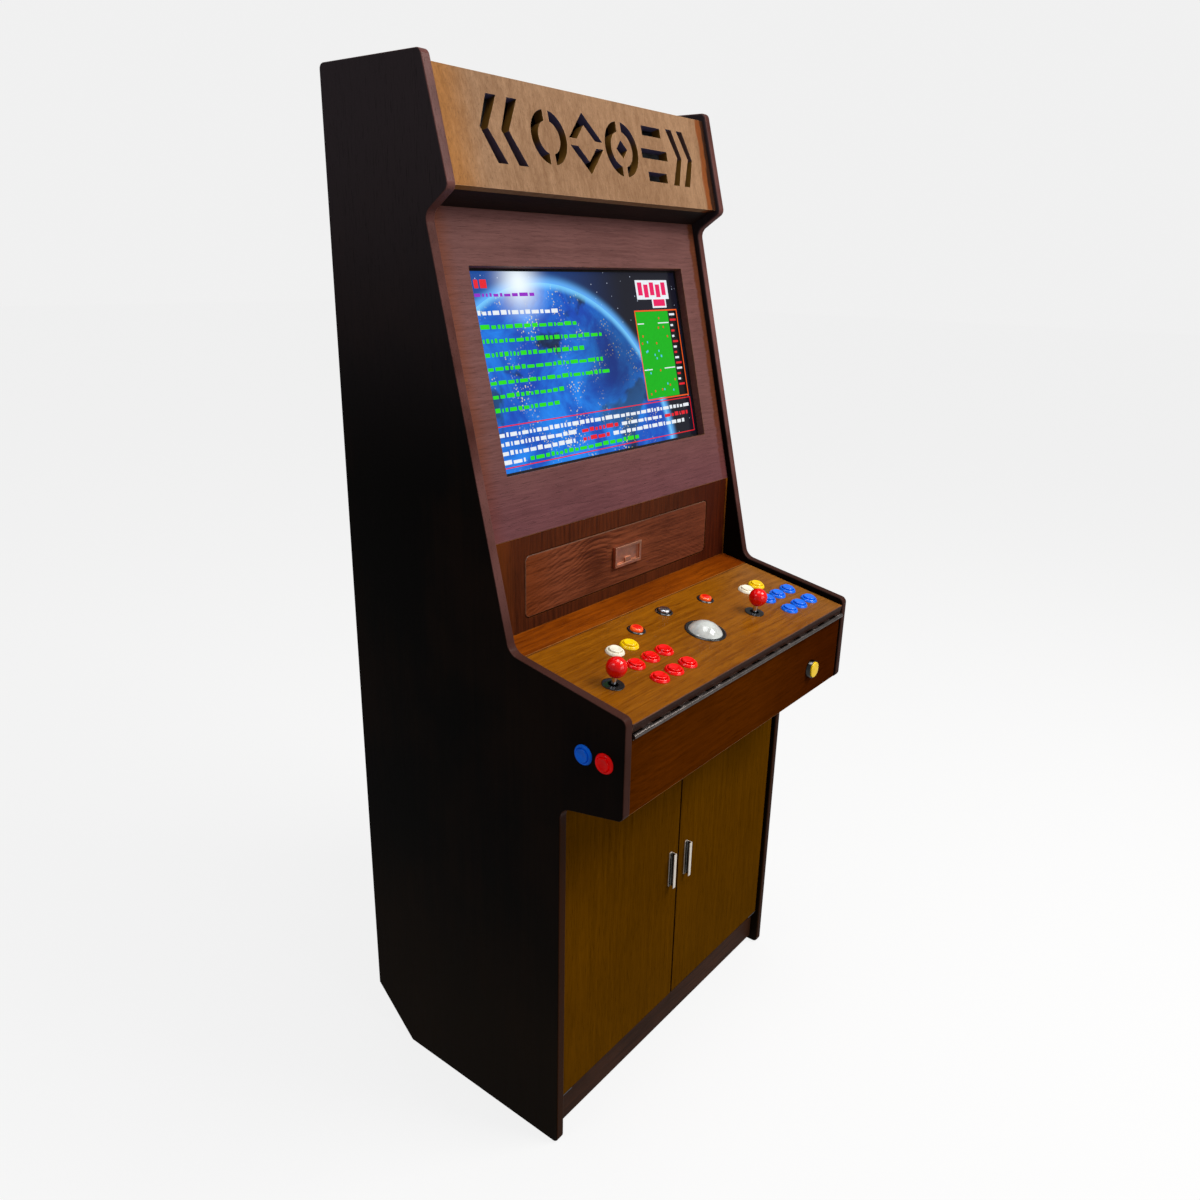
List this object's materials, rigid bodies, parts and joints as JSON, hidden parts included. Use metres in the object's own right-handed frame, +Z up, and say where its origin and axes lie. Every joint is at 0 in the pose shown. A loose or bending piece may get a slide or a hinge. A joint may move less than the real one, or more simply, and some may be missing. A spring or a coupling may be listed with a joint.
{
  "type": "arcade cabinet",
  "caption": "Upright two-player arcade cabinet with hinged control deck, joysticks, push buttons, trackball, screen, drawer and cupboard doors.",
  "frame": {"origin": "on the floor, under the middle of the cabinet's bounding box", "axes": "+Z up, -Y towards the player, +X to the player's right"},
  "size_m": [0.762, 0.629, 1.818],
  "materials": {
    "side_wood": "satin, near black",
    "board_black": "matt, near black",
    "marquee_wood": "stained, satin",
    "bezel_wood": "stained, satin",
    "panel_wood": "stained, satin",
    "deck_wood": "stained and lacquered",
    "apron_wood": "stained and lacquered",
    "door_wood": "stained, satin",
    "drawer_wood": "stained, satin",
    "plinth_wood": "stained, matt",
    "screen_plastic": "black",
    "case_grey": "grey, satin",
    "socket_plastic": "black",
    "steel": "zinc plated",
    "hinge_brass": "satin",
    "housing_black": "black",
    "pull_chrome": "satin",
    "pull_copper": "antique copper",
    "red_plastic": "glossy",
    "blue_plastic": "glossy",
    "white_plastic": "glossy",
    "yellow_plastic": "glossy",
    "orange_plastic": "translucent",
    "silver_plastic": "metallised"
  },
  "bodies": {
    "cabinet": {"side_panel_left": "side_wood", "side_panel_right": "side_wood", "top_panel": "board_black", "marquee_panel": "marquee_wood", "soffit_panel": "board_black", "monitor_bezel": "bezel_wood", "lower_panel": "panel_wood", "deck_rear_strip": "deck_wood", "apron_panel": "apron_wood", "control_box_floor": "board_black", "back_panel": "board_black", "bottom_panel": "board_black", "plinth": "plinth_wood", "monitor": "screen_plastic", "electronics": "case_grey", "mains_inlet": "socket_plastic", "drawer_runners": "steel", "deck_hinge_fixed_leaf": "hinge_brass", "cabinet_button_housings": "housing_black", "door_hinges": "steel"},
    "deck": {"control_deck": "deck_wood", "deck_hinge_moving_leaf": "hinge_brass", "deck_button_housings": "housing_black", "joystick_bases": "socket_plastic", "trackball_housing": "socket_plastic"},
    "p1_gimbal": {"p1_gimbal": "steel"},
    "p1_stick": {"p1_stick": "red_plastic"},
    "p2_gimbal": {"p2_gimbal": "steel"},
    "p2_stick": {"p2_stick": "red_plastic"},
    "trackball": {"trackball": "white_plastic"},
    "door_left": {"door_left": "door_wood", "door_pull_left": "pull_chrome"},
    "door_right": {"door_right": "door_wood", "door_pull_right": "pull_chrome"},
    "drawer": {"drawer_box": "drawer_wood", "drawer_pull": "pull_copper"},
    "p1_button_1": {"p1_button_1": "red_plastic"},
    "p1_button_2": {"p1_button_2": "red_plastic"},
    "p1_button_3": {"p1_button_3": "red_plastic"},
    "p1_button_4": {"p1_button_4": "red_plastic"},
    "p1_button_5": {"p1_button_5": "red_plastic"},
    "p1_button_6": {"p1_button_6": "red_plastic"},
    "p1_button_7": {"p1_button_7": "white_plastic"},
    "p1_button_8": {"p1_button_8": "yellow_plastic"},
    "p2_button_1": {"p2_button_1": "blue_plastic"},
    "p2_button_2": {"p2_button_2": "blue_plastic"},
    "p2_button_3": {"p2_button_3": "blue_plastic"},
    "p2_button_4": {"p2_button_4": "blue_plastic"},
    "p2_button_5": {"p2_button_5": "blue_plastic"},
    "p2_button_6": {"p2_button_6": "blue_plastic"},
    "p2_button_7": {"p2_button_7": "white_plastic"},
    "p2_button_8": {"p2_button_8": "yellow_plastic"},
    "centre_button_left": {"centre_button_left": "orange_plastic"},
    "centre_button_middle": {"centre_button_middle": "silver_plastic"},
    "centre_button_right": {"centre_button_right": "orange_plastic"},
    "left_side_button_front": {"left_side_button_front": "red_plastic"},
    "left_side_button_rear": {"left_side_button_rear": "blue_plastic"},
    "right_side_button_front": {"right_side_button_front": "red_plastic"},
    "right_side_button_rear": {"right_side_button_rear": "blue_plastic"},
    "coin_button": {"coin_button": "yellow_plastic"}
  },
  "joints": [
    {"name": "deck_hinge", "type": "hinge", "parent": "cabinet", "child": "deck", "pos_m": [0, -0.3075, 0.8705], "axis": [1, 0, 0], "range_deg": [0, 75]},
    {"name": "door_left_hinge", "type": "hinge", "parent": "cabinet", "child": "door_left", "pos_m": [-0.341, -0.1669, 0.394], "axis": [0, 0, -1], "range_deg": [0, 105]},
    {"name": "door_right_hinge", "type": "hinge", "parent": "cabinet", "child": "door_right", "pos_m": [0.341, -0.1669, 0.394], "axis": [0, 0, 1], "range_deg": [0, 105]},
    {"name": "drawer_slide", "type": "slide", "parent": "cabinet", "child": "drawer", "axis": [0, -1, 0], "range_m": [0, 0.2]},
    {"name": "p1_stick_fore_aft", "type": "hinge", "parent": "deck", "child": "p1_gimbal", "pos_m": [-0.29, -0.21377, 0.8865], "axis": [1, 0, 0], "range_deg": [-7, 7], "stiffness_Nm_per_rad": 2},
    {"name": "p1_stick_sideways", "type": "hinge", "parent": "p1_gimbal", "child": "p1_stick", "pos_m": [-0.29, -0.21377, 0.8865], "axis": [0, 0.9828, 0.1845], "range_deg": [-7, 7], "stiffness_Nm_per_rad": 2},
    {"name": "p2_stick_fore_aft", "type": "hinge", "parent": "deck", "child": "p2_gimbal", "pos_m": [0.157, -0.2118, 0.88686], "axis": [1, 0, 0], "range_deg": [-7, 7], "stiffness_Nm_per_rad": 2},
    {"name": "p2_stick_sideways", "type": "hinge", "parent": "p2_gimbal", "child": "p2_stick", "pos_m": [0.157, -0.2118, 0.88686], "axis": [0, 0.9828, 0.1845], "range_deg": [-7, 7], "stiffness_Nm_per_rad": 2},
    {"name": "trackball_roll", "type": "hinge", "parent": "deck", "child": "trackball", "pos_m": [0.003, -0.1994, 0.89123], "axis": [1, 0, 0], "continuous": true},
    {"name": "p1_button_1_press", "type": "slide", "parent": "deck", "child": "p1_button_1", "axis": [0, 0.1845, -0.9828], "range_m": [0, 0.003], "stiffness_N_per_m": 400, "springref_m": -0.001},
    {"name": "p1_button_2_press", "type": "slide", "parent": "deck", "child": "p1_button_2", "axis": [0, 0.1845, -0.9828], "range_m": [0, 0.003], "stiffness_N_per_m": 400, "springref_m": -0.001},
    {"name": "p1_button_3_press", "type": "slide", "parent": "deck", "child": "p1_button_3", "axis": [0, 0.1845, -0.9828], "range_m": [0, 0.003], "stiffness_N_per_m": 400, "springref_m": -0.001},
    {"name": "p1_button_4_press", "type": "slide", "parent": "deck", "child": "p1_button_4", "axis": [0, 0.1845, -0.9828], "range_m": [0, 0.003], "stiffness_N_per_m": 400, "springref_m": -0.001},
    {"name": "p1_button_5_press", "type": "slide", "parent": "deck", "child": "p1_button_5", "axis": [0, 0.1845, -0.9828], "range_m": [0, 0.003], "stiffness_N_per_m": 400, "springref_m": -0.001},
    {"name": "p1_button_6_press", "type": "slide", "parent": "deck", "child": "p1_button_6", "axis": [0, 0.1845, -0.9828], "range_m": [0, 0.003], "stiffness_N_per_m": 400, "springref_m": -0.001},
    {"name": "p1_button_7_press", "type": "slide", "parent": "deck", "child": "p1_button_7", "axis": [0, 0.1845, -0.9828], "range_m": [0, 0.003], "stiffness_N_per_m": 400, "springref_m": -0.001},
    {"name": "p1_button_8_press", "type": "slide", "parent": "deck", "child": "p1_button_8", "axis": [0, 0.1845, -0.9828], "range_m": [0, 0.003], "stiffness_N_per_m": 400, "springref_m": -0.001},
    {"name": "p2_button_1_press", "type": "slide", "parent": "deck", "child": "p2_button_1", "axis": [0, 0.1845, -0.9828], "range_m": [0, 0.003], "stiffness_N_per_m": 400, "springref_m": -0.001},
    {"name": "p2_button_2_press", "type": "slide", "parent": "deck", "child": "p2_button_2", "axis": [0, 0.1845, -0.9828], "range_m": [0, 0.003], "stiffness_N_per_m": 400, "springref_m": -0.001},
    {"name": "p2_button_3_press", "type": "slide", "parent": "deck", "child": "p2_button_3", "axis": [0, 0.1845, -0.9828], "range_m": [0, 0.003], "stiffness_N_per_m": 400, "springref_m": -0.001},
    {"name": "p2_button_4_press", "type": "slide", "parent": "deck", "child": "p2_button_4", "axis": [0, 0.1845, -0.9828], "range_m": [0, 0.003], "stiffness_N_per_m": 400, "springref_m": -0.001},
    {"name": "p2_button_5_press", "type": "slide", "parent": "deck", "child": "p2_button_5", "axis": [0, 0.1845, -0.9828], "range_m": [0, 0.003], "stiffness_N_per_m": 400, "springref_m": -0.001},
    {"name": "p2_button_6_press", "type": "slide", "parent": "deck", "child": "p2_button_6", "axis": [0, 0.1845, -0.9828], "range_m": [0, 0.003], "stiffness_N_per_m": 400, "springref_m": -0.001},
    {"name": "p2_button_7_press", "type": "slide", "parent": "deck", "child": "p2_button_7", "axis": [0, 0.1845, -0.9828], "range_m": [0, 0.003], "stiffness_N_per_m": 400, "springref_m": -0.001},
    {"name": "p2_button_8_press", "type": "slide", "parent": "deck", "child": "p2_button_8", "axis": [0, 0.1845, -0.9828], "range_m": [0, 0.003], "stiffness_N_per_m": 400, "springref_m": -0.001},
    {"name": "centre_button_left_press", "type": "slide", "parent": "deck", "child": "centre_button_left", "axis": [0, 0.1845, -0.9828], "range_m": [0, 0.003], "stiffness_N_per_m": 400, "springref_m": -0.001},
    {"name": "centre_button_middle_press", "type": "slide", "parent": "deck", "child": "centre_button_middle", "axis": [0, 0.1845, -0.9828], "range_m": [0, 0.003], "stiffness_N_per_m": 400, "springref_m": -0.001},
    {"name": "centre_button_right_press", "type": "slide", "parent": "deck", "child": "centre_button_right", "axis": [0, 0.1845, -0.9828], "range_m": [0, 0.003], "stiffness_N_per_m": 400, "springref_m": -0.001},
    {"name": "left_side_button_front_press", "type": "slide", "parent": "cabinet", "child": "left_side_button_front", "axis": [1, 0, 0], "range_m": [0, 0.003], "stiffness_N_per_m": 400, "springref_m": -0.001},
    {"name": "left_side_button_rear_press", "type": "slide", "parent": "cabinet", "child": "left_side_button_rear", "axis": [1, 0, 0], "range_m": [0, 0.003], "stiffness_N_per_m": 400, "springref_m": -0.001},
    {"name": "right_side_button_front_press", "type": "slide", "parent": "cabinet", "child": "right_side_button_front", "axis": [-1, 0, 0], "range_m": [0, 0.003], "stiffness_N_per_m": 400, "springref_m": -0.001},
    {"name": "right_side_button_rear_press", "type": "slide", "parent": "cabinet", "child": "right_side_button_rear", "axis": [-1, 0, 0], "range_m": [0, 0.003], "stiffness_N_per_m": 400, "springref_m": -0.001},
    {"name": "coin_button_press", "type": "slide", "parent": "cabinet", "child": "coin_button", "axis": [0, 1, 0], "range_m": [0, 0.003], "stiffness_N_per_m": 400, "springref_m": -0.001}
  ]
}
